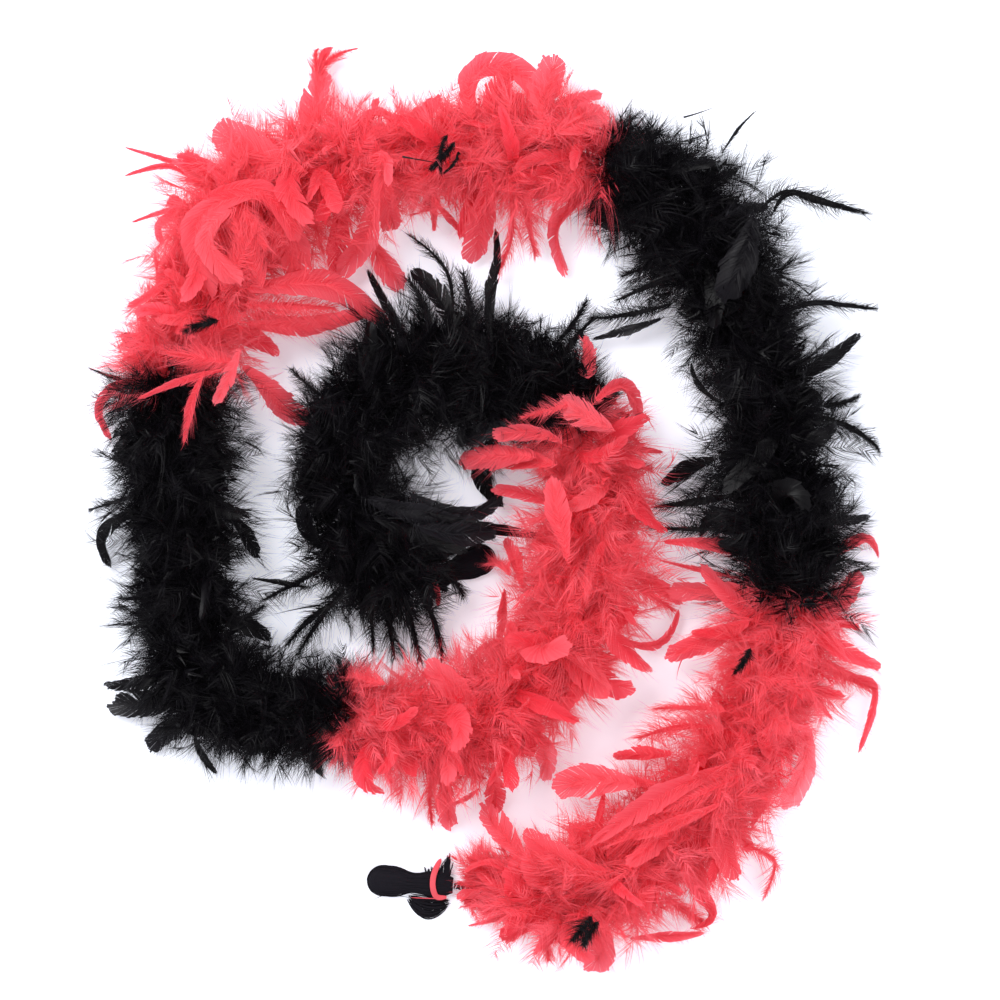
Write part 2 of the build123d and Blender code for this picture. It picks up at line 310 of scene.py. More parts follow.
# Bare quills have how pale they are, and their route.
QUILLS = [
    [  # section 1, red
        (-0.1, (118, -82, 14), (112, -90, 10), (112, -104, 8)),
    ],
    [  # section 2, black
        (0, (98, 214, 24), (106, 226, 16), (111, 237, 12)),
        (0, (116, 228, 16), (130, 232, 12), (142, 238, 10)),
    ],
    [  # section 3, red
        (0, (-52, 228, 26), (-48, 236, 20), (-44, 240, 16)),
    ],
    [  # section 4, black
        (0, (-180, -18, 20), (-190, -30, 12), (-204, -36, 8), (-215, -32, 8)),
    ],
    [],  # section 5, red
    [  # section 6, black
        (0, (-95, -55, 16), (-115, -58, 10), (-130, -63, 8)),
        (0, (-72, -92, 14), (-64, -80, 10), (-58, -70, 8)),
    ],
]
# Bits of black caught in red sections, in the same way.
STRAYS = {
    1: {
        "plume": [
            (7, (62, -230, 62), (57, -238, 60), (51, -246, 48)),
            (6, (66, -233, 61), (60, -240, 59), (57, -249, 46)),
            (4, (152, -78, 60), (148, -88, 62), (143, -92, 58)),
        ],
        "quill": [
            (0, (64, -240, 20), (66, -250, 14), (65, -257, 10)),
        ],
    },
    3: {
        "flat": [
            (1.4, 0.2, 0, (-14, 204, 61), (-15, 197, 64), (-22, 192, 62)),
        ],
        "plume": [
            (4, (-16, 210, 58), (-22, 200, 64), (-30, 194, 60)),
            (4, (-20, 214, 58), (-26, 206, 64), (-24, 192, 62)),
            (5, (-150, 108, 60), (-160, 106, 62), (-170, 102, 58)),
        ],
        "quill": [
            (0, (-46, 201, 62), (-32, 198, 65), (-16, 196, 62)),
        ],
    },
}

# The yarn ends: the core's tip, and the way that the loop points, in degrees.
YARN_ENDS = {"outer": (OUTER_TIP, 176), "inner": (INNER_TIP, 24)}
CORE_RADIUS = 2.0
PLY_OFFSET = 1.02  # from the core's middle to the middles of its three plies
PLY_TURN = 11  # the length of one turn of the twist
CORE_STEP = 1.2  # between the stations of a ply
STITCH_RADIUS = 0.3
STITCH_STEP = 0.9
STITCH_LENGTH = 5.5  # of one zigzag, there and back
STITCH_SWING = 100  # how far round the core it goes on each side, in degrees


# ---------------------------------------------------------------- vectors
def unit(v):
    return v / np.maximum(np.linalg.norm(v, axis=-1, keepdims=True), 1e-9)


def dot(a, b):
    return (a * b).sum(-1, keepdims=True)


def across(v, axis):
    """The part of v at right angles to axis, as a unit vector."""
    return unit(v - dot(v, axis) * axis)


# ---------------------------------------------------------------- the core's line
def nurbs_line(name, points):
    """The route's smooth line: points read from a NURBS spline over the route's points."""
    curve = bpy.data.curves.new(name, "CURVE")
    curve.dimensions = "3D"
    curve.resolution_u = 16
    spline = curve.splines.new("NURBS")
    spline.points.add(len(points) - 1)
    for control, point in zip(spline.points, points):
        control.co = (*(value * MM for value in point), 1)
    spline.order_u = 3
    spline.use_endpoint_u = True
    holder = bpy.data.objects.new(name, curve)
    bpy.context.scene.collection.objects.link(holder)
    evaluated = holder.evaluated_get(bpy.context.evaluated_depsgraph_get())
    mesh = bpy.data.meshes.new_from_object(evaluated)
    line = np.array([vertex.co for vertex in mesh.vertices])
    bpy.data.objects.remove(holder)
    bpy.data.curves.remove(curve)
    bpy.data.meshes.remove(mesh)
    return line


class Line:
    """A polyline that can be read at any distance along it."""

    def __init__(self, points):
        self.points = points
        steps = np.linalg.norm(np.diff(points, axis=0), axis=1)
        self.along = np.concatenate([[0], np.cumsum(steps)])
        self.length = self.along[-1]
        self.tangents = unit(np.gradient(points, axis=0))

    def read(self, values, s):
        return np.stack([np.interp(s, self.along, values[:, axis]) for axis in range(3)], -1)

    def at(self, s):
        """Place, tangent, sideways (level) and upward directions at the distances s."""
        tangent = unit(self.read(self.tangents, s))
        sideways = unit(np.cross(tangent, [0, 0, 1]))
        return self.read(self.points, s), tangent, sideways, np.cross(sideways, tangent)


section_points = [nurbs_line(f"route_{n}", route) for n, route in enumerate(ROUTES, start=1)]
section_lines = [Line(points) for points in section_points]
boa = Line(np.concatenate([section_points[0]] + [points[1:] for points in section_points[1:]]))
section_ends = np.concatenate([[0], np.cumsum([line.length for line in section_lines])])
girth_places = np.concatenate([
    np.linspace(start, end, len(girths[0]))
    for start, end, girths in zip(section_ends, section_ends[1:], GIRTHS)
])
girth_values = [np.concatenate([girths[side] for girths in GIRTHS]) * MM for side in (0, 1)]


def girth_at(s, theta):
    """How far the plumage reaches from the core at the distances s, towards the angles theta."""
    right, left = (np.interp(s, girth_places, values) for values in girth_values)
    level = np.cos(theta)
    tufts = 1 + sum(TUFTING * np.sin(2 * math.pi * s / (length * MM) + turns * theta)
                    for length, turns in TUFT_WAVES)
    right, left = right * tufts, left * tufts
    top = np.minimum(TOP_GIRTH * MM, (right + left) / 2 + TOP_RISE * MM)
    sides = right * np.maximum(level, 0) ** 2 + left * np.maximum(-level, 0) ** 2
    return sides + top * np.sin(theta) ** 2


# ---------------------------------------------------------------- strips to meshes
HAIR_GRAIN = 0.7 * MM  # the grain's step from one hair to the next
YARN_GAP = 0.1 * MM  # how near the yarn comes to the floor


def ladder(stations):
    """The triangles between the pairs of points of a strip."""
    pattern = []
    for k in range(stations - 1):
        left = 2 * k
        pattern += [(left, left + 1, left + 3), (left, left + 3, left + 2)]
    return pattern


class Strips:
    """Collects thin strips, and makes one mesh of them."""

    def __init__(self):
        self.verts, self.tris, self.tints, self.grains, self.uvs = [], [], [], [], []
        self.count = 0

    def append(self, verts, pattern, tint, grain, uv):
        """verts is (strips, points, 3), pattern the triangles of one strip, tint and grain
        (strips, points) and uv (strips, points, 2). The grain is what the fine barbs follow: it
        stays the same along a barb, and grows from barb to barb."""
        strips, points = verts.shape[:2]
        starts = self.count + np.arange(strips) * points
        self.tris.append((starts[:, None, None] + np.array(pattern)[None]).reshape(-1, 3))
        self.verts.append(verts.reshape(-1, 3))
        self.tints.append(tint.reshape(-1))
        self.grains.append(np.broadcast_to(grain, (strips, points)).reshape(-1))
        self.uvs.append(uv.reshape(-1, 2))
        self.count += strips * points

    def hairs(self, centres, halves, tint, uv):
        """Strips that end in a point. centres and halves are (strips, stations, 3), tint is
        (strips, stations) and uv (strips, stations, 2)."""
        strips, stations = centres.shape[:2]
        body = stations - 1
        verts = np.empty((strips, 2 * body + 1, 3))
        verts[:, 0:2 * body:2] = centres[:, :-1] - halves[:, :-1]
        verts[:, 1:2 * body:2] = centres[:, :-1] + halves[:, :-1]
        verts[:, -1] = centres[:, -1]
        pattern = ladder(body) + [(2 * body - 2, 2 * body - 1, 2 * body)]
        spread = np.concatenate([np.repeat(np.arange(body), 2), [body]])
        grain = np.arange(strips)[:, None] * HAIR_GRAIN
        self.append(verts, pattern, tint[:, spread], grain, uv[:, spread])

    def bands(self, left, right, tint, grain_left, grain_right, uv_left, uv_right):
        """Strips between two lines, left and right, both (strips, stations, 3)."""
        strips, stations = left.shape[:2]
        verts = np.stack([left, right], 2).reshape(strips, 2 * stations, 3)
        uv = np.stack([uv_left, uv_right], 2).reshape(strips, 2 * stations, 2)
        grain = np.tile(np.stack([grain_left, grain_right], -1), (1, stations))
        self.append(verts, ladder(stations), np.repeat(tint, 2, axis=1), grain, uv)

    def mesh(self, title, material, yarn=False):
        """One mesh of all strips. Feathers are pressed onto the floor, and yarn only stays over it."""
        verts = np.concatenate(self.verts)
        verts = np.maximum(verts, [-np.inf, -np.inf, YARN_GAP]) if yarn else settle(verts)
        tris = np.concatenate(self.tris)
        mesh = bpy.data.meshes.new(title)
        mesh.vertices.add(len(verts))
        mesh.vertices.foreach_set("co", verts.astype(np.float32).ravel())
        mesh.loops.add(tris.size)
        mesh.loops.foreach_set("vertex_index", tris.astype(np.int32).ravel())
        mesh.polygons.add(len(tris))
        mesh.polygons.foreach_set("loop_start", np.arange(0, tris.size, 3, dtype=np.int32))
        mesh.polygons.foreach_set("use_smooth", np.ones(len(tris), bool))
        for name, values in (("tint", self.tints), ("grain", self.grains)):
            layer = mesh.attributes.new(name, "FLOAT", "POINT")
            layer.data.foreach_set("value", np.concatenate(values).astype(np.float32))
        layer = mesh.uv_layers.new(name="OFBake")
        corners = np.concatenate(self.uvs)[tris.ravel()]
        layer.data.foreach_set("uv", corners.astype(np.float32).ravel())
        mesh.update(calc_edges=True)
        mesh.materials.append(material)
        piece = bpy.data.objects.new(title, mesh)
        bpy.context.scene.collection.objects.link(piece)
        return piece


FLOOR_GAP = 0.4 * MM
SOFT_FLOOR = 7 * MM  # below this height the feathers are pressed flatter and flatter
FREE_REACH = np.array([14, 15, 5]) * MM  # how far past the CAD box a tip may stray as it likes
LAST_REACH = np.array([8, 9, 6]) * MM  # and how much further it may come at most


def brought_back(past):
    """How far what is this far past the free reach is brought back, so that LAST_REACH holds."""
    return past - LAST_REACH * past / (LAST_REACH + past)


def settle(verts):
    """Presses what would go through the floor onto it, and holds stray tips near the CAD box."""
    verts = verts.copy()
    z = verts[:, 2]
    room = SOFT_FLOOR - FLOOR_GAP
    pressed = FLOOR_GAP + room * np.exp(np.minimum(z - SOFT_FLOOR, 0) / room)
    verts[:, 2] = np.where(z < SOFT_FLOOR, pressed, z)
    low, high = np.array(cad_box[0]) - FREE_REACH, np.array(cad_box[1]) + FREE_REACH
    verts -= brought_back(np.maximum(verts - high, 0))
    past = np.maximum(low - verts, 0)
    past[:, 2] = 0
    verts += brought_back(past)
    return verts


# ---------------------------------------------------------------- feathers
SHAFT_STEPS = 12
CURL_POWER = 2.5  # how late along its shaft a feather curls


def shafts(root, start, end, curl, length, bend, surface):
    """Curved shafts that leave root along start, turn to end and curl towards curl. Returns their
    points, directions, and each point's direction across the vane and out of its face."""
    u = np.linspace(0, 1, SHAFT_STEPS + 1)
    turn = (u[None, :] ** bend[:, None])[..., None]
    direction = unit(start[:, None] * (1 - turn) + end[:, None] * turn
                     + curl[:, None] * u[:, None] ** CURL_POWER)
    middle = unit(direction[:, 1:] + direction[:, :-1])
    steps = middle * (length / SHAFT_STEPS)[:, None, None]
    points = np.concatenate([np.zeros_like(steps[:, :1]), np.cumsum(steps, 1)], 1) + root[:, None]
    face = across(surface(points), direction)
    return points, direction, np.cross(direction, face), face


def sample(values, u):
    """Reads values that are evenly spaced along each shaft, (feathers, stations, 3), at the
    fractions u of its length, (feathers, n)."""
    steps = values.shape[1] - 1
    place = u * steps
    low = np.clip(place.astype(int), 0, steps - 1)
    part = (place - low)[..., None]
    rows = np.arange(len(values))[:, None]
    return values[rows, low] * (1 - part) + values[rows, low + 1] * part


def tiles(count):
    """The corner and size of each feather's own tile in the piece's UV square."""
    side = math.ceil(math.sqrt(count))
    index = np.arange(count)
    corner = np.stack([index % side, index // side], -1) / side
    return corner, 1 / side


def tile_uv(corner, tile, along, beside):
    """UV of a point of a feather: along its shaft, 0 to 1, and beside it, -1 to 1."""
    shape = np.broadcast_shapes(np.shape(along), np.shape(beside))
    uv = np.empty((*shape, 2))
    spare = (slice(None),) + (None,) * (len(shape) - 1)
    uv[..., 0] = corner[:, 0][spare] + tile * (0.05 + 0.9 * along)
    uv[..., 1] = corner[:, 1][spare] + tile * (0.5 + 0.45 * beside)
    return uv


class Hairs:
    """How the loose barbs of a feather grow: the stretch of the shaft that they stand on, how many
    stand on each side, their length, angle to the shaft, width and unruliness, how many cling
    together in a wisp, how closely, and how uneven their lengths are."""

    def __init__(self, span, count, length, angle, width, unruly, wisp=5, cling=0.6, ragged=0.4):
        self.span, self.count, self.length = span, count, length
        self.angle, self.width, self.unruly = angle, width, unruly
        self.wisp, self.cling, self.ragged = wisp, cling, ragged


HAIR_STATIONS = 5
SWAY_POINTS = 6  # neighbouring barbs sway together, between this many random ways


def loose_barbs(strips, hairs, shaft, scale, tint, corner, tile, rng, profile):
    """Adds fine loose barbs on both sides of each shaft, whose lengths along it follow profile."""
    points, direction, lateral, face = shaft
    feathers, n = len(points), hairs.count
    tau = np.linspace(0, 1, HAIR_STATIONS)[None, None, :, None]
    start, end = hairs.span
    for side in (-1, 1):
        # The barbs' roots are spread evenly with some chance, and neighbours sway together.
        base = np.clip((np.arange(n) + rng.uniform(0, 1, (feathers, n))) / n, 0, 1)
        u = start + (end - start) * base
        p, d, v, m = (sample(values, u) for values in (points, direction, lateral, face))
        angle = hairs.angle * (1 - 0.45 * base ** 3)
        angle += rng.normal(0, 0.35 * hairs.unruly, base.shape)
        sway = sample(rng.normal(0, 1, (feathers, SWAY_POINTS, 3)), base)
        out = np.cos(angle)[..., None] * d + np.sin(angle)[..., None] * side * v
        out = unit(out + 0.22 * sway + hairs.unruly * 0.6 * rng.normal(0, 1, out.shape))
        # They curl towards the feather's tip and sag, and each waves in its own plane.
        curl = 0.95 * d - 0.35 * side * v + 0.55 * sway - [0, 0, 0.15]
        curl += hairs.unruly * rng.normal(0, 1, out.shape)
        wave = 0.07 * np.sin(4.5 * tau + rng.uniform(0, 6.3, (*base.shape, 1, 1)))
        wave = wave * tau * np.cross(out, rng.normal(0, 1, out.shape))[:, :, None]
        uneven = rng.uniform(1 - hairs.ragged, 1 + 0.6 * hairs.ragged, base.shape)
        size = (hairs.length * scale[:, None] * profile(base) * uneven)[..., None, None]
        way = tau * out[:, :, None] + wave + tau ** 2 * 0.6 * curl[:, :, None]
        centres = p[:, :, None] + size * way
        # Those of one wisp draw towards its middle one.
        leader = np.minimum(np.arange(n) // hairs.wisp * hairs.wisp + hairs.wisp // 2, n - 1)
        centres += (centres[:, leader] - centres) * hairs.cling * tau ** 1.4
        half = across(d * 0.6 + 0.4 * m * rng.normal(0, 1, base.shape)[..., None], out)
        halves = half[:, :, None] * (0.5 * hairs.width * (1 - tau) ** 0.9)
        # Each barb is painted darker at its root and lighter towards its tip, a painted shade deep in
        # the plumage, and differs a little at random.
        shade = tint[:, None, None] + 0.05 * tau[..., 0] + rng.normal(0, 0.03, base.shape)[..., None]
        uv = tile_uv(corner, tile, u[..., None], side * (0.06 + 0.9 * tau[..., 0]))
        strips.hairs(centres.reshape(-1, HAIR_STATIONS, 3), halves.reshape(-1, HAIR_STATIONS, 3),
                     shade.reshape(-1, HAIR_STATIONS), uv.reshape(-1, HAIR_STATIONS, 2))


def ovate(t, blunt):
    """How broad a vane is at the share t of the way along it, as a share of its greatest breadth."""
    narrowing = (0.62 - 0.42 * blunt) * np.maximum(t - 0.35, 0) / 0.65
    return np.minimum(1, 0.25 + 2.1 * t) * (1 - narrowing)


BUNDLES = 22  # the barbs of a vane's side hold together in this many bundles
VANE_STATIONS = 4
FAN = 0.74  # the share of the bundles that stand along the shaft; the others fan out at its tip
SPLIT_SHARE = 0.65  # splits open only this far along the vane
SPLIT_TURN = 0.09  # how far one opens, in radians, as a standard deviation
BUNDLE_TURN = 0.009  # how far each bundle turns by itself, in the same way
BUNDLE_LENGTH = 0.055  # and how much its length varies, as a share
VANE_SWING = (0.75, 1.05)  # the bundles' angle to the shaft where the vane starts, in radians
VANE_BREADTH = (0.65, 0.95)  # how broad each side is, as a share of the feather's breadth
VANE_CUP = (-0.15, 0.4)  # how far the bundles' ends bow inwards, or outwards below 0
VANE_WAVE = (0, 0.2)  # and how far a side waves in and out, both as shares of their length


def vanes(strips, shaft, breadth, tint, corner, tile, rng, blunt=None, first=0.24, splits=2):
    """Adds the flat vane on both sides of each shaft: bundles of barbs that lie edge to edge, and
    part at a few splits. blunt, 0 to 1, is how broad the tip stays, and first is where along the
    shaft the vane starts."""
    points, direction, lateral, face = shaft
    feathers = len(points)
    if blunt is None:
        blunt = rng.uniform(0.1, 1, feathers)
    tau = np.linspace(0, 1, VANE_STATIONS)[None, None, :, None]
    t = np.linspace(0, 1, BUNDLES + 1)[None]
    t_fan = np.maximum(t - FAN, 0) / (1 - FAN)
    t_shaft = 0.92 * np.minimum(t / FAN, 1) + 0.08 * t_fan
    cup = rng.uniform(*VANE_CUP, feathers)[:, None, None, None]
    wave = rng.uniform(*VANE_WAVE, feathers)[:, None]
    long = np.linalg.norm(np.diff(points, axis=1), axis=2).sum(1)
    origin = rng.uniform(0, 10, feathers)
    phase = rng.uniform(0, 2 * math.pi, feathers)[:, None]
    swing = rng.uniform(*VANE_SWING, feathers)[:, None]
    for side in (-1, 1):
        u = first + (1 - first) * t_shaft.repeat(feathers, 0)
        tip_swing = 0.3 + 0.5 * blunt[:, None]
        angle = (swing + (tip_swing - swing) * t_shaft ** 1.6) * (1 - t_fan)
        share = rng.uniform(*VANE_BREADTH, feathers)[:, None]
        reach = breadth[:, None] * share * ovate(t, blunt[:, None])
        lift = wave * np.sin(phase + side + 7 * t)
        # The bundles before a split stand further out, and so it opens.
        where = rng.uniform(0, 1, (feathers, splits))
        gap = -np.abs(rng.normal(0, SPLIT_TURN, (feathers, splits))) * (where < SPLIT_SHARE)
        middles = (t[:, 1:] + t[:, :-1]) / 2
        drift = (gap[:, None] * (middles[..., None] > where[:, None])).sum(-1)
        drift -= drift[:, -1:] + 0.03
        drift += rng.normal(0, BUNDLE_TURN, drift.shape)
        length = 1 + rng.normal(0, BUNDLE_LENGTH, drift.shape)
        p, d, v, m = (sample(values, u) for values in (points, direction, lateral, face))
        lines, grains, uvs = [], [], []
        for edge in (slice(0, -1), slice(1, None)):
            turned = (angle[:, edge] + drift)[..., None]
            out = np.cos(turned) * d[:, edge] + np.sin(turned) * side * v[:, edge]
            size = (reach[:, edge] * length)[..., None, None]
            rise = lift[:, edge, None, None] - cup
            bow = tau ** 2 * (0.22 * d[:, edge, None] + rise * m[:, edge, None])
            line = p[:, edge, None] + size * (tau * out[:, :, None] + bow)
            lines.append(line.reshape(-1, VANE_STATIONS, 3))
            grains.append((origin[:, None] + long[:, None] * (u + 0.3 * t_fan)[:, edge]).reshape(-1))
            along = np.broadcast_to(t[:, edge, None], (feathers, BUNDLES, VANE_STATIONS))
            uv = tile_uv(corner, tile, along, side * (0.02 + 0.95 * tau[..., 0]))
            uvs.append(uv.reshape(-1, VANE_STATIONS, 2))
        # Each bundle is painted darker near the shaft and the vane's root and lighter towards its edge
        # and the vane's tip: a painted shade at the root and a painted satin light towards the edge.
        # The whole vane is a little darker, and each bundle differs at random.
        shade = 0.16 * (tau[..., 0] - 0.6) + 0.12 * (middles[..., None] - 0.6)
        shade = shade + (tint[:, None] - 0.07 + rng.normal(0, 0.015, drift.shape))[..., None]
        strips.bands(*lines, shade.reshape(-1, VANE_STATIONS), *grains, *uvs)


def quills(strips, shaft, thickness, tint, corner, tile):
    """Adds each shaft itself, as two crossed strips that taper off before its tip."""
    points, _, lateral, face = (values[:, :-2] for values in shaft)
    u = np.linspace(0, 1, points.shape[1])
    taper = (1 - u)[None, :, None]
    uv = tile_uv(corner, tile, np.broadcast_to(u, (len(points), len(u))), 0.0)
    shade = np.broadcast_to(tint[:, None] - 0.03, points.shape[:2])
    for wide in (lateral, face):
        strips.hairs(points, wide * thickness * taper, shade, uv)


# How the barbs' length goes along the part of the shaft that they stand on, 0 to 1.
def fading(base):
    return np.clip(1.05 - 0.5 * base, 0.1, 1)


def fringe_outline(base):
    return ovate(base, 0.3) * 1.05


def plume_outline(base):
    return np.clip(np.minimum(1, 0.6 + 1.5 * base) * (1 - 0.7 * base ** 2.5), 0.12, 1)


DOWN = Hairs(span=(0.0, 0.55), count=24, length=20 * MM, angle=1.15, width=0.5 * MM, unruly=0.2)
FRINGE = Hairs(span=(0.12, 1.0), count=46, length=12 * MM, angle=0.9, width=0.34 * MM, unruly=0.07,
               wisp=4, cling=0.5, ragged=0.35)
PLUME = Hairs(span=(0.03, 1.0), count=46, length=21 * MM, angle=1.05, width=0.42 * MM, unruly=0.12,
              wisp=6, cling=0.55)
FLUFF = Hairs(span=(0.05, 1.0), count=36, length=19 * MM, angle=1.15, width=0.5 * MM, unruly=0.2)
FILL = Hairs(span=(0.1, 1.0), count=13, length=13 * MM, angle=1.1, width=1.8 * MM, unruly=0.3,
             wisp=3, cling=0.3)
PLUME_REACH = 13  # how far a plume of size 1 reaches, in millimetres
FINE_QUILL = 0.2 * MM  # half the width of a feather's own shaft at its root
FIRM_QUILL = 0.3 * MM
BARE_QUILL = 0.6 * MM

# How each kind of feather grows: its paleness, its length as a share of the plumage's girth, how
# far it leans along the core and wraps round it, how far it stands out at its tip and how much
# less so on top, how far it curls, and how late it turns to its last direction. The paleness is
# painted light and shade: plumes and fluff lighter, against the shade that their own hairs cast,
# flat ones darker, as they catch more direct light, and the fill, which lies deepest, darkest, a
# painted shade deep in the plumage.
HABITS = {
    "flat": {"pale": -0.07, "length": (0.95, 1.45), "lean": 1.1, "wrap": 1.5,
             "lift": (-0.5, 0.3), "topped": 0.75, "curl": 0.9, "bend": (0.4, 0.9)},
    "plume": {"pale": 0.05, "length": (0.75, 1.2), "lean": 0.5, "wrap": 1.0,
              "lift": (0.4, 1.2), "topped": 0.6, "curl": 0.7, "bend": (0.8, 1.8)},
    "fluff": {"pale": 0.03, "length": (0.45, 0.85), "lean": 0.6, "wrap": 1.2,
              "lift": (0.3, 1.0), "topped": 0, "curl": 0.8, "bend": (0.8, 1.8)},
    "fill": {"pale": -0.1, "length": (0.4, 0.8), "lean": 0.4, "wrap": 0.8,
             "lift": (0.5, 1.0), "topped": 0, "curl": 0.5, "bend": (0.8, 1.8)},
}
FULL_GIRTH = 40 * MM  # feathers have their full size where the plumage reaches this far
FLAT_BREADTH = (5, 13)  # how far a full-size flat feather's barbs reach, in millimetres
LOWEST_ROOT = {"flat": 22, "plume": -25, "fluff": -25, "fill": -25}  # degrees over the level
PARTED_END = 34 * MM  # this near the outer tip the feathers lie to the sides, and the core shows
LEAN_REACH = 55 * MM  # this near a bend the feathers lean away from it
ROOT_OFFSET = 1.5  # from the core's middle to the roots, in millimetres
FACE_RISE = 9 * MM  # how much the faces of feathers near the core turn upwards


def surface_of(s):
    """The way out of the plumage's surface, for feathers rooted at the distances s."""
    place, tangent, _, _ = boa.at(s)

    def outward(points):
        away = points - place[:, None]
        away = away - dot(away, tangent[:, None]) * tangent[:, None]
        return unit(away + np.array([0, 0, FACE_RISE]))

    return outward


def rooted(s, theta, home, rng, lean, wrap, lift):
    """Root, first and last direction of feathers at the distances s and angles theta about the
    core. Those near a bend lean away from it, towards home, the middle of their own colour."""
    place, tangent, sideways, up = boa.at(s)
    radial = np.cos(theta)[:, None] * sideways + FLATNESS * np.sin(theta)[:, None] * up
    around = -np.sin(theta)[:, None] * sideways + FLATNESS * np.cos(theta)[:, None] * up
    along = rng.normal(0, lean, len(s))
    near_bend = np.abs(s[:, None] - section_ends[1:-1]).min(1) < LEAN_REACH
    along = np.where(near_bend & (along * (home - s) < 0), -0.7 * along, along)[:, None]
    start = unit(radial + along * 0.6 * tangent + rng.normal(0, 0.2, (len(s), 3)))
    turn = rng.choice([-1, 1], len(s)) * rng.uniform(0.2, 1, len(s))
    turn *= wrap * (0.35 + 0.65 * np.sin(theta) ** 2)
    end = unit(lift[:, None] * radial + turn[:, None] * around + 1.6 * along * tangent
               + rng.normal(0, 0.22, (len(s), 3)) - [0, 0, 0.22])
    return place + radial * ROOT_OFFSET * MM, start, end


def grow(strips, kind, s, home, rng, corner, tile):
    """Grows one kind of feather at the distances s along the core, towards home near a bend."""
    habit = HABITS[kind]
    count = len(s)
    low = LOWEST_ROOT[kind]
    theta = rng.uniform(math.radians(low), math.radians(180 - low), count)
    lying = np.where(theta < math.pi / 2, 0.35 * theta, math.pi - 0.35 * (math.pi - theta))
    theta = np.where(s < PARTED_END, lying, theta)
    girth = girth_at(s, theta)
    size = np.clip(girth / FULL_GIRTH, 0.35, 1.1)
    # Each kind's paleness is painted light and shade, and each feather differs at random.
    tint = rng.normal(0, 0.08, count) + habit["pale"]
    curl = habit["curl"] * rng.normal(0, 1, (count, 3)) * [1, 1, 0.6]
    length = girth * rng.uniform(*habit["length"], count)
    lift = rng.uniform(*habit["lift"], count) * (1 - habit["topped"] * np.sin(theta) ** 2)
    root, start, end = rooted(s, theta, home, rng, habit["lean"], habit["wrap"], lift)
    bend = rng.uniform(*habit["bend"], count)
    shaft = shafts(root, start, end, curl, length, bend, surface_of(s))
    place = (corner, tile)
    if kind == "flat":
        breadth = size * rng.uniform(*FLAT_BREADTH, count) * MM
        fringe = 1.15 * breadth / FRINGE.length
        vanes(strips, shaft, breadth, tint, *place, rng)
        # The down at the root is painted a little darker than the feather: painted shade near the
        # core.
        loose_barbs(strips, DOWN, shaft, size, tint - 0.04, *place, rng, fading)
        loose_barbs(strips, FRINGE, shaft, fringe, tint, *place, rng, fringe_outline)
        quills(strips, shaft, FIRM_QUILL, tint + 0.12, *place)
    elif kind == "plume":
        loose_barbs(strips, PLUME, shaft, size, tint, *place, rng, plume_outline)
        quills(strips, shaft, FINE_QUILL, tint, *place)
    else:
        hairs = FILL if kind == "fill" else FLUFF
        loose_barbs(strips, hairs, shaft, size, tint, *place, rng, plume_outline)


LAID_SPREAD = 0.03  # how much the tints of laid feathers differ, as a standard deviation
LAID_BREADTH = {"flat": 1.5, "plume": 0.33}  # their vanes' breadth, as a share of the barbs' reach
LAID_FRINGES = (1.6, 1.35)  # how far the two fringes of a flat one reach, in the same way
LAID_GROWTHS = (1, 0.9, 0.7, 0.5)  # and the four growths of barbs on a plume


def laid_shafts(routes, rng):
    """Shafts that follow their own routes, each turned a little at random about itself."""
    shaft = []
    for route in routes:
        line = Line(nurbs_line("feather", route))
        points, direction, sideways, up = line.at(np.linspace(0, line.length, SHAFT_STEPS + 1))
        direction = unit(direction + 0.01 * rng.normal(0, 1, 3))
        tilted = across(up + 0.35 * rng.normal(0, 1) * sideways, direction)
        shaft.append((points, direction, np.cross(direction, tilted), tilted))
    return [np.stack(values) for values in zip(*shaft)]


def lay_flats(strips, rows, rng, *place):
    """Flat feathers: a vane with down at its root and two fringes at its edge."""
    reach, blunt, pale = (np.array([row[column] for row in rows]) for column in range(3))
    shaft = laid_shafts([row[3:] for row in rows], rng)
    # The paleness of the black flat feathers greys them: a painted sheen.
    tint = pale + rng.normal(0, LAID_SPREAD, len(rows))
    down = 0.6 * np.clip(reach / 9, 0.3, 1.2)
    breadth = reach * LAID_BREADTH["flat"] * MM
    vanes(strips, shaft, breadth, tint, *place, rng, blunt=blunt, first=0.06, splits=3)
    # The down at the root is painted a little darker than the feather: painted shade near the core.
    loose_barbs(strips, DOWN, shaft, down, tint - 0.04, *place, rng, fading)
    for fullness in LAID_FRINGES:
        fringe = fullness * reach * MM / FRINGE.length
        loose_barbs(strips, FRINGE, shaft, fringe, tint, *place, rng, fringe_outline)
    quills(strips, shaft, FINE_QUILL, tint, *place)


def lay_plumes(strips, rows, rng, *place):
    """Limp plumes: a narrow pointed vane among four growths of loose barbs."""
    reach = np.array([row[0] for row in rows])
    shaft = laid_shafts([row[1:] for row in rows], rng)
    tint = rng.normal(0, LAID_SPREAD, len(rows))
    breadth = reach * LAID_BREADTH["plume"] * MM
    vanes(strips, shaft, breadth, tint - 0.05, *place, rng, blunt=0 * reach, first=0.04, splits=1)
    for fullness in LAID_GROWTHS:
        size = fullness * reach / PLUME_REACH
        loose_barbs(strips, PLUME, shaft, size, tint, *place, rng, plume_outline)
    quills(strips, shaft, FINE_QUILL, tint, *place)


def lay_quills(strips, rows, rng, *place):
    """Bare quills."""
    shaft = laid_shafts([row[1:] for row in rows], rng)
    tint = np.array([row[0] for row in rows]) + rng.normal(0, LAID_SPREAD, len(rows))
    quills(strips, shaft, BARE_QUILL, tint, *place)


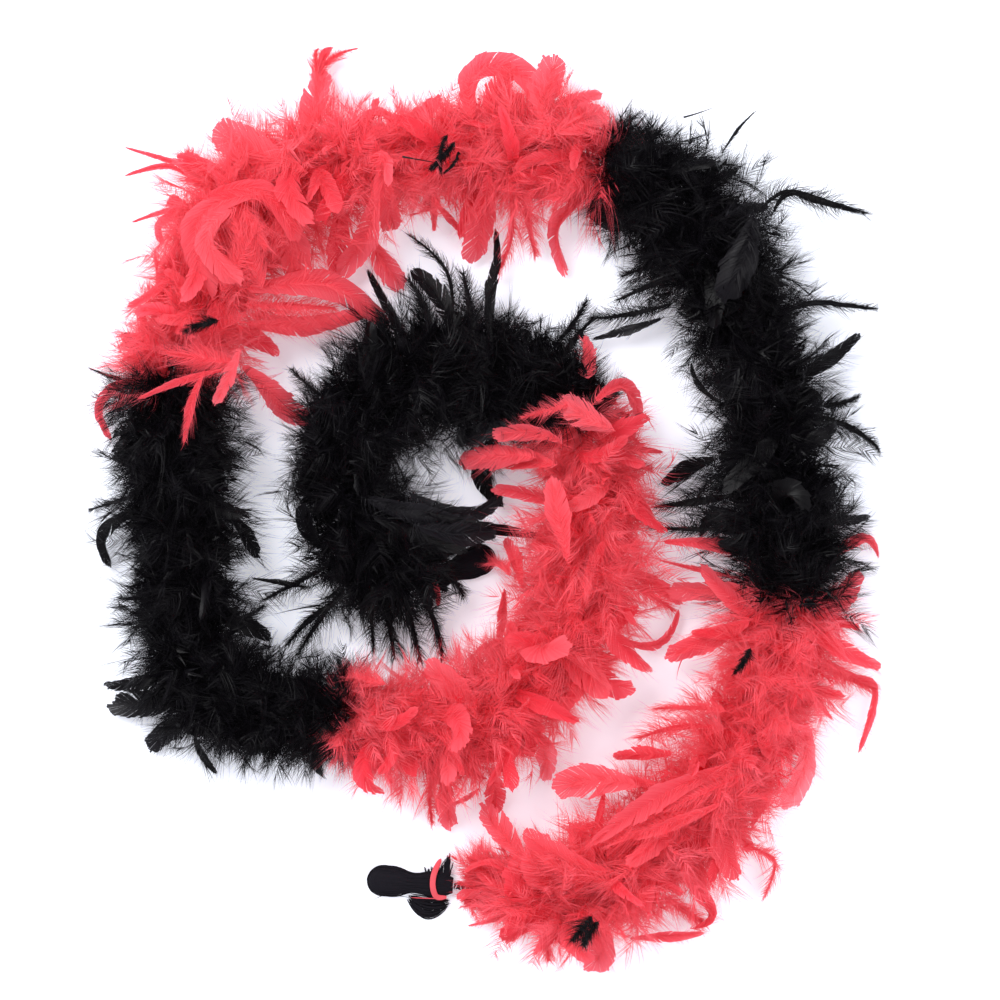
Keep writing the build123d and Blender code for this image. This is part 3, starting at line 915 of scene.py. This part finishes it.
# ---------------------------------------------------------------- yarn
def rounds(strips, paths, wide, high, sides, tint=0.0):
    """Adds closed tubes with this many sides along paths, (tubes, stations, 3). wide and high are
    their radii to the sides and upwards, (tubes, stations)."""
    tubes, stations = paths.shape[:2]
    tangent = unit(np.gradient(paths, axis=1))
    sideways = unit(np.cross(tangent, [0, 0, 1]))
    up = np.cross(sideways, tangent)
    angle = np.arange(sides) * 2 * math.pi / sides
    ring = (np.cos(angle)[:, None] * (sideways * wide[..., None])[:, :, None]
            + np.sin(angle)[:, None] * (up * high[..., None])[:, :, None])
    verts = (paths[:, :, None] + ring).reshape(tubes, stations * sides, 3)
    pattern = []
    for k in range(stations - 1):
        for j in range(sides):
            a, b = k * sides + j, k * sides + (j + 1) % sides
            pattern += [(a, b, b + sides), (a, b + sides, a + sides)]
    last = (stations - 1) * sides
    for j in range(1, sides - 1):
        pattern += [(0, j + 1, j), (last, last + j, last + j + 1)]
    along = np.repeat(np.linspace(0, 1, stations), sides)[None].repeat(tubes, 0)
    around = np.tile(np.abs(np.arange(sides) * 2 / sides - 1), stations)[None]
    uv = tile_uv(*tiles(tubes), along, around)
    strips.append(verts, pattern, np.full(along.shape, tint), 0.0, uv)


def core_piece(number):
    """The section's stretch of core cord: three plies twisted together along the route."""
    line, start = section_lines[number - 1], section_ends[number - 1]
    s = np.linspace(0, line.length, int(line.length / (CORE_STEP * MM)))
    place, _, sideways, up = line.at(s)
    plies = []
    for ply in range(3):
        turn = 2 * math.pi * ((start + s) / (PLY_TURN * MM) + ply / 3)[:, None]
        plies.append(place + PLY_OFFSET * MM * (np.cos(turn) * sideways + np.sin(turn) * up))
    plies = np.stack(plies)
    strips = Strips()
    radius = np.full(plies.shape[:2], (CORE_RADIUS - PLY_OFFSET) * MM)
    rounds(strips, plies, radius, radius, sides=7)
    return strips.mesh(f"core_yarn_{number}", YARN, yarn=True)


def stitch_piece(number):
    """The white thread that is sewn in a zigzag over the section's core."""
    line, start = section_lines[number - 1], section_ends[number - 1]
    s = np.linspace(0, line.length, int(line.length / (STITCH_STEP * MM)))
    place, _, sideways, up = line.at(s)
    swing = (start + s) / (STITCH_LENGTH * MM) % 1
    over = (math.radians(STITCH_SWING) * (np.abs(4 * swing - 2) - 1))[:, None]
    reach = (CORE_RADIUS + 0.5 * STITCH_RADIUS) * MM
    thread = (place + reach * (np.sin(over) * sideways + np.cos(over) * up))[None]
    strips = Strips()
    radius = np.full(thread.shape[:2], STITCH_RADIUS * MM)
    rounds(strips, thread, radius, radius, sides=5)
    return strips.mesh(f"stitching_{number}", THREAD, yarn=True)


def laid_at(tip, turn):
    """Turns points of a yarn end, in millimetres with x along the loop, into places."""
    c, s = math.cos(math.radians(turn)), math.sin(math.radians(turn))

    def placed(points):
        x, y, z = np.moveaxis(np.asarray(points, float), -1, 0)
        return np.stack([tip[0] + c * x - s * y, tip[1] + s * x + c * y, z], -1) * MM

    return placed


# Places along the loop and its half width there. It widens to a bulb, which closes round.
LOOP_PROFILE = [(0, 2.5), (4, 6.2), (10, 7.4), (16, 7.0), (22, 5.4), (27, 5.8), (33, 8.6), (42, 8.9)]
LOOP_MIDDLE = 42.0  # where the bulb starts to close
BULB_RADIUS = 8.8
LOOP_HEIGHT = 7.0
YARN_RADIUS = 0.42
YARN_TINT = 0.02


def loop_width(x):
    """The loop's half width at x, before the bulb's round end is taken off."""
    return np.interp(x, *zip(*LOOP_PROFILE))


def loop_strands(placed, rng):
    """The doubled yarn: strands that run out along one side, round the bulb and back."""
    x = np.linspace(1, LOOP_MIDDLE, 30)
    width = np.convolve(np.pad(loop_width(x), 2, mode="edge"), np.ones(5) / 5, "valid")
    round_end = np.linspace(0, math.pi, 19)[1:-1]
    paths = []
    for layer, shares in ((1, np.linspace(0.06, 1, 19)), (-1, np.linspace(0.3, 0.97, 9))):
        for share in shares:
            out = np.stack([x, share * width], -1)
            end = np.stack([LOOP_MIDDLE + BULB_RADIUS * share * np.sin(round_end),
                            share * width[-1] * np.cos(round_end)], -1)
            level = np.concatenate([out, end, out[::-1] * [1, -1]])
            z = LOOP_HEIGHT / 2 * (1 + layer * 0.86 * math.sqrt(max(0.02, 1 - share ** 2)))
            rise = np.interp(level[:, 0], [0, 6, 30, 51], [1, 1, 0.95, 0.9])
            wander = np.cumsum(rng.normal(0, 0.07, (len(level), 3)), 0)
            wander -= np.linspace(0, 1, len(level))[:, None] * wander[-1]
            paths.append(np.column_stack([level, z * rise]) + wander * [1, 1, 0.4])
    return placed(np.stack(paths))


def heart(placed):
    """A dark body under the loop's strands, so that nothing shows between them."""
    x = np.linspace(1.5, 50, 40)
    past = np.clip((x - LOOP_MIDDLE) / 8.4, 0, 0.995)
    width = (loop_width(x) - 0.8) * np.sqrt(1 - past ** 2)
    height = LOOP_HEIGHT / 2 * np.minimum(1, 0.35 + width / 9) - 0.5
    path = np.stack([x, 0 * x, np.full_like(x, LOOP_HEIGHT / 2)], -1)[None]
    return placed(path), width[None] * MM, height[None] * MM


BUNDLE_STATIONS = 14


def bundle(placed, rng, start, end, bulge, spread, height, count, fray=1.0):
    """Strands that lie side by side from start to end, both (x, y), bulging sideways."""
    t = np.linspace(0, 1, BUNDLE_STATIONS)[:, None]
    start, end = np.array(start, float), np.array(end, float)
    away = unit(np.array([-(end - start)[1], (end - start)[0]]))
    paths = []
    for share in np.linspace(-1, 1, count):
        aside = away * (bulge + spread * share) * np.sin(math.pi * t) ** 0.8
        level = start + (end - start) * t + aside
        level += away * spread * 0.45 * share + (end - start) * rng.normal(0, 0.02, 2)
        level += np.cumsum(rng.normal(0, 0.08 * fray, (BUNDLE_STATIONS, 2)), 0)
        z = 0.6 + (height - 0.6) * math.sqrt(max(0, 1 - share ** 2)) * rng.uniform(0.4, 1)
        z = z * (0.35 + 0.65 * np.sin(math.pi * t) ** 0.6)
        paths.append(np.column_stack([level, z]))
    return placed(np.stack(paths))


def strands(strips, paths, radius=YARN_RADIUS, tint=YARN_TINT, taper=True):
    """Yarn strands of one radius, in millimetres, that taper at their ends unless told not to."""
    u = np.linspace(-1, 1, paths.shape[1])
    shape = np.maximum(0.25, 1 - np.abs(u) ** 6) if taper else np.ones_like(u)
    radius = np.tile(radius * MM * shape, (len(paths), 1))
    rounds(strips, paths, radius, radius, sides=5, tint=tint)


def read_route(placed, name, route, stations):
    """Places along the smooth line over a route of points of a yarn end."""
    line = Line(nurbs_line(name, route) / MM)
    return placed(line.at(np.linspace(0, line.length, stations))[0])[None]


FUZZ_STATIONS = 4
FUZZ_RADIUS = 0.09


def fuzz(strips, placed, rng, centres, reach):
    """Fine stray fibres that stand off the yarn at the centres, (x, y, z) in millimetres."""
    count, u = len(centres), np.linspace(0, 1, FUZZ_STATIONS)
    tau = u[None, :, None]
    out = rng.normal(0, 1, (count, 3)) * [1, 1, 0.5]
    curl = rng.normal(0, 1, (count, 3)) * [1, 1, 0.3]
    way = tau * out[:, None] + 0.6 * tau ** 2 * curl[:, None]
    lines = centres[:, None] + reach * rng.uniform(0.4, 1, (count, 1, 1)) * way
    lines[..., 2] = np.maximum(lines[..., 2], 0.5)
    half = unit(rng.normal(0, 1, (count, 1, 3))) * FUZZ_RADIUS * (1 - 0.8 * tau) * MM
    strips.hairs(placed(lines), half, np.zeros((count, FUZZ_STATIONS)),
                 tile_uv(*tiles(count), u[None].repeat(count, 0), 0.0))


# The feather strip's route over the binding, its half width and half thickness.
STRIP_ROUTE = [(9, -15, 2.2), (11.5, -10, 5.6), (13, -4, 8.1), (12.5, 3, 8.0), (9.5, 8.5, 6.2),
               (4, 6.5, 5.5)]
STRIP_WIDE = 1.7
STRIP_HIGH = 0.32


def fold(placed, rng):
    """The spare yarn, folded back beside the binding."""
    strips = Strips()
    strands(strips, bundle(placed, rng, start=(3, 11), end=(26, 9.5), bulge=4.4, spread=4.2,
                           height=4.6, count=24, fray=1.8))
    strands(strips, bundle(placed, rng, start=(20, 11), end=(16, 18.5), bulge=0.6, spread=3.2,
                           height=3.4, count=12, fray=1.8), radius=0.36)
    strands(strips, bundle(placed, rng, start=(5, 10), end=(25, 10), bulge=4.2, spread=3.9,
                           height=2.6, count=30), tint=0.0)
    return strips


def cut_ends(placed, rng):
    """The yarn's cut ends, that stand out of the binding in a fan."""
    strips = Strips()
    for root_x in np.linspace(3, 17, 40):
        x = root_x + rng.normal(-0.3, 1.6)
        y = -(9.5 + 8.5 * math.exp(-((x - 4) / 3.6) ** 2)) * rng.uniform(0.8, 1.08)
        middle = ((root_x + x) / 2 + rng.normal(0, 0.6), -8, 4.4)
        route = [(root_x, -4.5, 4.6), middle, (x, y, rng.uniform(1.2, 3.4))]
        line = Line(nurbs_line("strand", route) / MM)
        path = line.at(np.linspace(0, line.length, 10))[0] + 0.1 * rng.normal(0, 1, (10, 3))
        strands(strips, placed(path)[None], radius=rng.uniform(0.35, 0.6))
    centres = rng.normal(0, 1, (80, 3)) * [3, 2.2, 0.6] + [7, -9, 3]
    fuzz(strips, placed, rng, centres, reach=2.0)
    return strips


def yarn_end(prefix, seed):
    """The four pieces of one end: the looped yarn, its fold, its cut ends and the feather strip."""
    rng = np.random.default_rng(seed)
    placed = laid_at(*YARN_ENDS[prefix])
    loop = Strips()
    rounds(loop, *heart(placed), sides=16)
    strands(loop, loop_strands(placed, rng), taper=False)
    along = rng.uniform(2, 46, 160)
    side = rng.uniform(-1, 1, 160)
    height = LOOP_HEIGHT * 0.5 + 2.5 * (1 - np.abs(side))
    centres = np.column_stack([along, side * loop_width(along), height])
    fuzz(loop, placed, rng, centres, reach=1.6)
    made = {"loop": loop, "fold": fold(placed, rng), "cut_ends": cut_ends(placed, rng)}
    made["strip"] = Strips()
    u = np.linspace(-1, 1, 30)[None]
    wide = STRIP_WIDE * MM * np.sqrt(1.02 - np.abs(u) ** 5)
    rounds(made["strip"], read_route(placed, "strip", STRIP_ROUTE, 30), wide,
           np.full_like(u, STRIP_HIGH * MM), sides=10, tint=0.12)
    if prefix == "outer":
        fibre = [(22, 9, 3), (35.6, 8, 4), (42, 8.2, 3), (49, 13.5, 1)]
        strands(loop, read_route(placed, "stray", fibre, 16), radius=0.16, tint=0.1)
        barb = [(25, 8.6, 4.4), (14, 8.3, 6.2), (3, 7.6, 5.6)]
        strands(made["strip"], read_route(placed, "stray", barb, 16), radius=0.3, tint=0.1)
    for name, strips in made.items():
        is_feather = name == "strip"
        material = FEATHERS["red"] if is_feather else YARN
        piece = strips.mesh(f"{prefix}_yarn_{name}", material, yarn=True)
        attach(piece, f"{prefix}_end")
        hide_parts(f"{prefix}_{name}")


# ---------------------------------------------------------------- materials
BARBULE_SPACING = 0.9 * MM


def wire(tree, node, inputs):
    """Sets a node's inputs, each to a value or to another node's output."""
    for name, value in inputs.items():
        if isinstance(value, bpy.types.NodeSocket):
            tree.links.new(value, node.inputs[name])
        else:
            node.inputs[name].default_value = value


def add(tree, kind, inputs, **settings):
    """Adds a node of this kind, with its settings and its inputs."""
    node = tree.nodes.new(f"ShaderNode{kind}")
    for name, value in settings.items():
        setattr(node, name, value)
    wire(tree, node, inputs)
    return node


def add_ramp(tree, factor, stops):
    """Adds a colour ramp, and returns its colour."""
    node = add(tree, "ValToRGB", {"Fac": factor})
    elements = node.color_ramp.elements
    for index, (position, colour) in enumerate(stops):
        element = elements[index] if index < 2 else elements.new(position)
        element.position = position
        element.color = (*colour, 1)
    return node.outputs["Color"]


def feather_material(name, dark, light, pale, sheen, translucency, roughness, gloss):
    """A feather that light shines through: dark, light or pale by its tint and its barbules."""
    material = bpy.data.materials.new(name)
    material.use_nodes = True
    tree = material.node_tree
    tree.nodes.clear()
    tint = add(tree, "Attribute", {}, attribute_name="tint").outputs["Fac"]
    grain = add(tree, "Attribute", {}, attribute_name="grain").outputs["Fac"]
    place = add(tree, "Math", {0: grain, 1: 1 / BARBULE_SPACING}, operation="MULTIPLY")
    noise = add(tree, "TexNoise", {"W": place.outputs[0], "Scale": 1, "Detail": 3},
                noise_dimensions="1D")
    barbules = noise.outputs["Fac"]
    mixed = add(tree, "Math", {0: barbules, 1: 0.5, 2: tint}, operation="MULTIPLY_ADD")
    colour = add_ramp(tree, mixed.outputs[0], [(0, dark), (0.55, light), (1, pale)])
    bump = add(tree, "Bump", {"Strength": 0.25, "Distance": 0.3 * MM, "Height": barbules})
    skin = add(tree, "BsdfPrincipled", {
        "Base Color": colour, "Normal": bump.outputs["Normal"], "Roughness": roughness,
        "Specular IOR Level": gloss, "Sheen Weight": sheen, "Sheen Roughness": 0.4})
    glow = add(tree, "BsdfTranslucent", {"Color": colour})
    blend = add(tree, "MixShader", {0: translucency, 1: skin.outputs[0], 2: glow.outputs[0]})
    add(tree, "OutputMaterial", {"Surface": blend.outputs[0]})
    return material


def fibre_material(name, colour, roughness, sheen):
    """Spun yarn or thread: fine fibres along it, lighter and darker."""
    material = bpy.data.materials.new(name)
    material.use_nodes = True
    tree = material.node_tree
    place = add(tree, "TexCoord", {}).outputs["Object"]
    fibres = add(tree, "TexNoise", {"Vector": place, "Scale": 1800, "Detail": 4}).outputs["Fac"]
    darker = [0.45 * value for value in colour]
    bump = add(tree, "Bump", {"Strength": 0.5, "Distance": 0.1 * MM, "Height": fibres})
    wire(tree, tree.nodes["Principled BSDF"], {
        "Base Color": add_ramp(tree, fibres, [(0.3, darker), (0.7, colour)]),
        "Normal": bump.outputs["Normal"], "Roughness": roughness,
        "Specular IOR Level": 0.1, "Sheen Weight": sheen})
    return material


FEATHERS = {
    "red": feather_material("red_feather", dark=(0.785, 0.043, 0.071), light=(0.95, 0.205, 0.255),
                            pale=(0.96, 0.32, 0.37), sheen=0.1, translucency=0.55,
                            roughness=0.6, gloss=0.25),
    # The black feather's pale grey is a painted sheen, for the black flat feathers that are listed as
    # pale.
    "black": feather_material("black_feather", dark=(0.001, 0.0007, 0.0013),
                              light=(0.0035, 0.0028, 0.0045), pale=(0.028, 0.027, 0.032),
                              sheen=0.01, translucency=0.02, roughness=0.38, gloss=0.1),
}
YARN = fibre_material("black_yarn", (0.006, 0.005, 0.009), roughness=0.75, sheen=0.02)
THREAD = fibre_material("white_thread", (0.75, 0.74, 0.78), roughness=0.6, sheen=0.1)


# ---------------------------------------------------------------- plumage
BEND_REACH = 30 * MM  # feathers rooted this near a bend go into pieces of the bend's own
END_REACH = 8 * MM  # the first feathers are rooted this far from the yarn ends
BARE_REACH = 30 * MM  # and the first flat ones this much further on
MIXING = 5 * MM  # how far the colours reach past the bend into each other
# How many feathers of each kind are rooted on a metre of core.
PER_METRE = {
    "red": {"flat": 300, "plume": 840, "fluff": 740, "fill": 600},
    "black": {"flat": 60, "plume": 1030, "fluff": 850, "fill": 1150},
}
KINDS = ("flat", "plume", "fluff", "fill")
LAYERS = {"flat": lay_flats, "plume": lay_plumes, "quill": lay_quills}


def feather_piece(name, colour, strips):
    """Makes one piece of feathers from their strips."""
    piece = strips.mesh(name, FEATHERS[colour])
    print(name, len(piece.data.polygons), "triangles")
    return piece


def lay_piece(name, colour, rows_by_kind, seed):
    """One piece of laid feathers, from the rows of each kind."""
    rng = np.random.default_rng(seed)
    strips = Strips()
    corner, tile = tiles(sum(len(rows) for rows in rows_by_kind.values()))
    for kind, rows in rows_by_kind.items():
        if rows:
            LAYERS[kind](strips, rows, rng, corner[:len(rows)], tile)
            corner = corner[len(rows):]
    return feather_piece(name, colour, strips)


for number, colour in enumerate(COLOURS, start=1):
    core = core_piece(number)
    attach(core, f"section_{number}")
    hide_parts(f"core_cord_{number}")
    line = section_lines[number - 1]
    tuple(line.points[0])
    stitching = stitch_piece(number)
    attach(stitching, f"section_{number}")
    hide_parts(f"stitch_thread_{number}")
    rows = {"flat": FLATS[number - 1], "plume": PLUMES[number - 1], "quill": QUILLS[number - 1]}
    laid = lay_piece(f"laid_feathers_{number}", colour, rows, 500 + number)
    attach(laid, f"section_{number}")
for number, rows in STRAYS.items():
    strays = lay_piece(f"stray_feathers_{number}", "black", rows, 520 + number)
    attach(strays, f"section_{number}")
for prefix, seed in (("outer", 540), ("inner", 541)):
    yarn_end(prefix, seed)


def spaced(rng, start, end, per_metre):
    """Distances from start to end, one at random in each of as many equal steps."""
    count = max(1, int(round((end - start) * per_metre)))
    return start + (end - start) * (np.arange(count) + rng.uniform(0, 1, count)) / count


def make_piece(name, number, kinds, start, end, seed):
    """One piece of a section's plumage, rooted from start to end along the core."""
    colour = COLOURS[number - 1]
    home = (section_ends[number - 1] + section_ends[number]) / 2
    rng = np.random.default_rng(seed)
    roots = {kind: spaced(rng, start, end, PER_METRE[colour][kind]) for kind in kinds}
    strips = Strips()
    corner, tile = tiles(sum(len(places) for places in roots.values()))
    for kind, places in roots.items():
        grow(strips, kind, places, home, rng, corner[:len(places)], tile)
        corner = corner[len(places):]
    return feather_piece(name, colour, strips)


LAST = len(COLOURS)
for number in range(1, LAST + 1):
    first = section_ends[number - 1] + (END_REACH if number == 1 else BEND_REACH)
    last = section_ends[number] - (END_REACH if number == LAST else BEND_REACH)
    for kind in KINDS:
        bare = BARE_REACH if kind == "flat" else 0
        span = (first + bare * (number == 1), last - bare * (number == LAST))
        seed = 10 * number + len(kind)
        piece = make_piece(f"section_{number}_{kind}s", number, [kind], *span, seed)
        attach(piece, f"section_{number}")
        if kind == "flat":
            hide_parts(f"plumage_{number}")
for number in range(1, LAST):
    bend = section_ends[number]
    place, tangent = (value[0] for value in boa.at(np.array([bend]))[:2])
    for side, section in ((-1, number), (1, number + 1)):
        reach = sorted((bend - side * MIXING, bend + side * BEND_REACH))
        seed = 200 + 2 * number + side
        piece = make_piece(f"bend_{number}_{COLOURS[section - 1]}", section, KINDS, *reach, seed)
        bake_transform(piece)

# ---------------------------------------------------------------- stage, light and camera
FRAME_WIDTH = 578 * MM  # what the picture's width shows at the height of the core
FRAME_MIDDLE = (9.5 * MM, 6 * MM)
LENS = 135
FLOOR_HALF = 4.0
scene = bpy.context.scene
scene.view_settings.view_transform = "Standard"


def plain_floor():
    """A white floor that shines a little itself, so that it stays bright under the boa."""
    mesh = bpy.data.meshes.new("floor")
    corners = [(x * FLOOR_HALF, y * FLOOR_HALF, 0) for x, y in ((-1, -1), (1, -1), (1, 1), (-1, 1))]
    mesh.from_pydata(corners, [], [(0, 1, 2, 3)])
    floor = bpy.data.objects.new("floor", mesh)
    material = bpy.data.materials.new("floor_white")
    material.use_nodes = True
    tree = material.node_tree
    wire(tree, tree.nodes["Principled BSDF"], {
        "Base Color": (0.68, 0.71, 0.78, 1), "Roughness": 0.8,
        "Emission Color": (0.93, 0.92, 1, 1), "Emission Strength": 0.33})
    mesh.materials.append(material)
    scene.collection.objects.link(floor)


def area_light(name, place, size, watts):
    """A square lamp at a place in metres, facing the boa's middle."""
    data = bpy.data.lights.new(name, "AREA")
    data.size = size
    data.energy = watts
    light = bpy.data.objects.new(name, data)
    light.location = place
    direction = -light.location.normalized()
    light.rotation_euler = direction.to_track_quat("-Z", "Y").to_euler()
    scene.collection.objects.link(light)


plain_floor()
area_light("key", (-0.9, 0.9, 1.5), size=1.2, watts=46)
area_light("fill", (1.2, -0.6, 1.4), size=1.4, watts=20)
world = bpy.data.worlds.new("studio")
world.use_nodes = True
wire(world.node_tree, world.node_tree.nodes["Background"], {
    "Color": (0.97, 0.97, 1, 1), "Strength": 0.86})
scene.world = world

camera_data = bpy.data.cameras.new("camera")
camera_data.lens = LENS
camera_data.sensor_width = 36
camera = bpy.data.objects.new("camera", camera_data)
camera.location = (*FRAME_MIDDLE, FRAME_WIDTH * LENS / camera_data.sensor_width + LIE * MM)
scene.collection.objects.link(camera)
scene.camera = camera
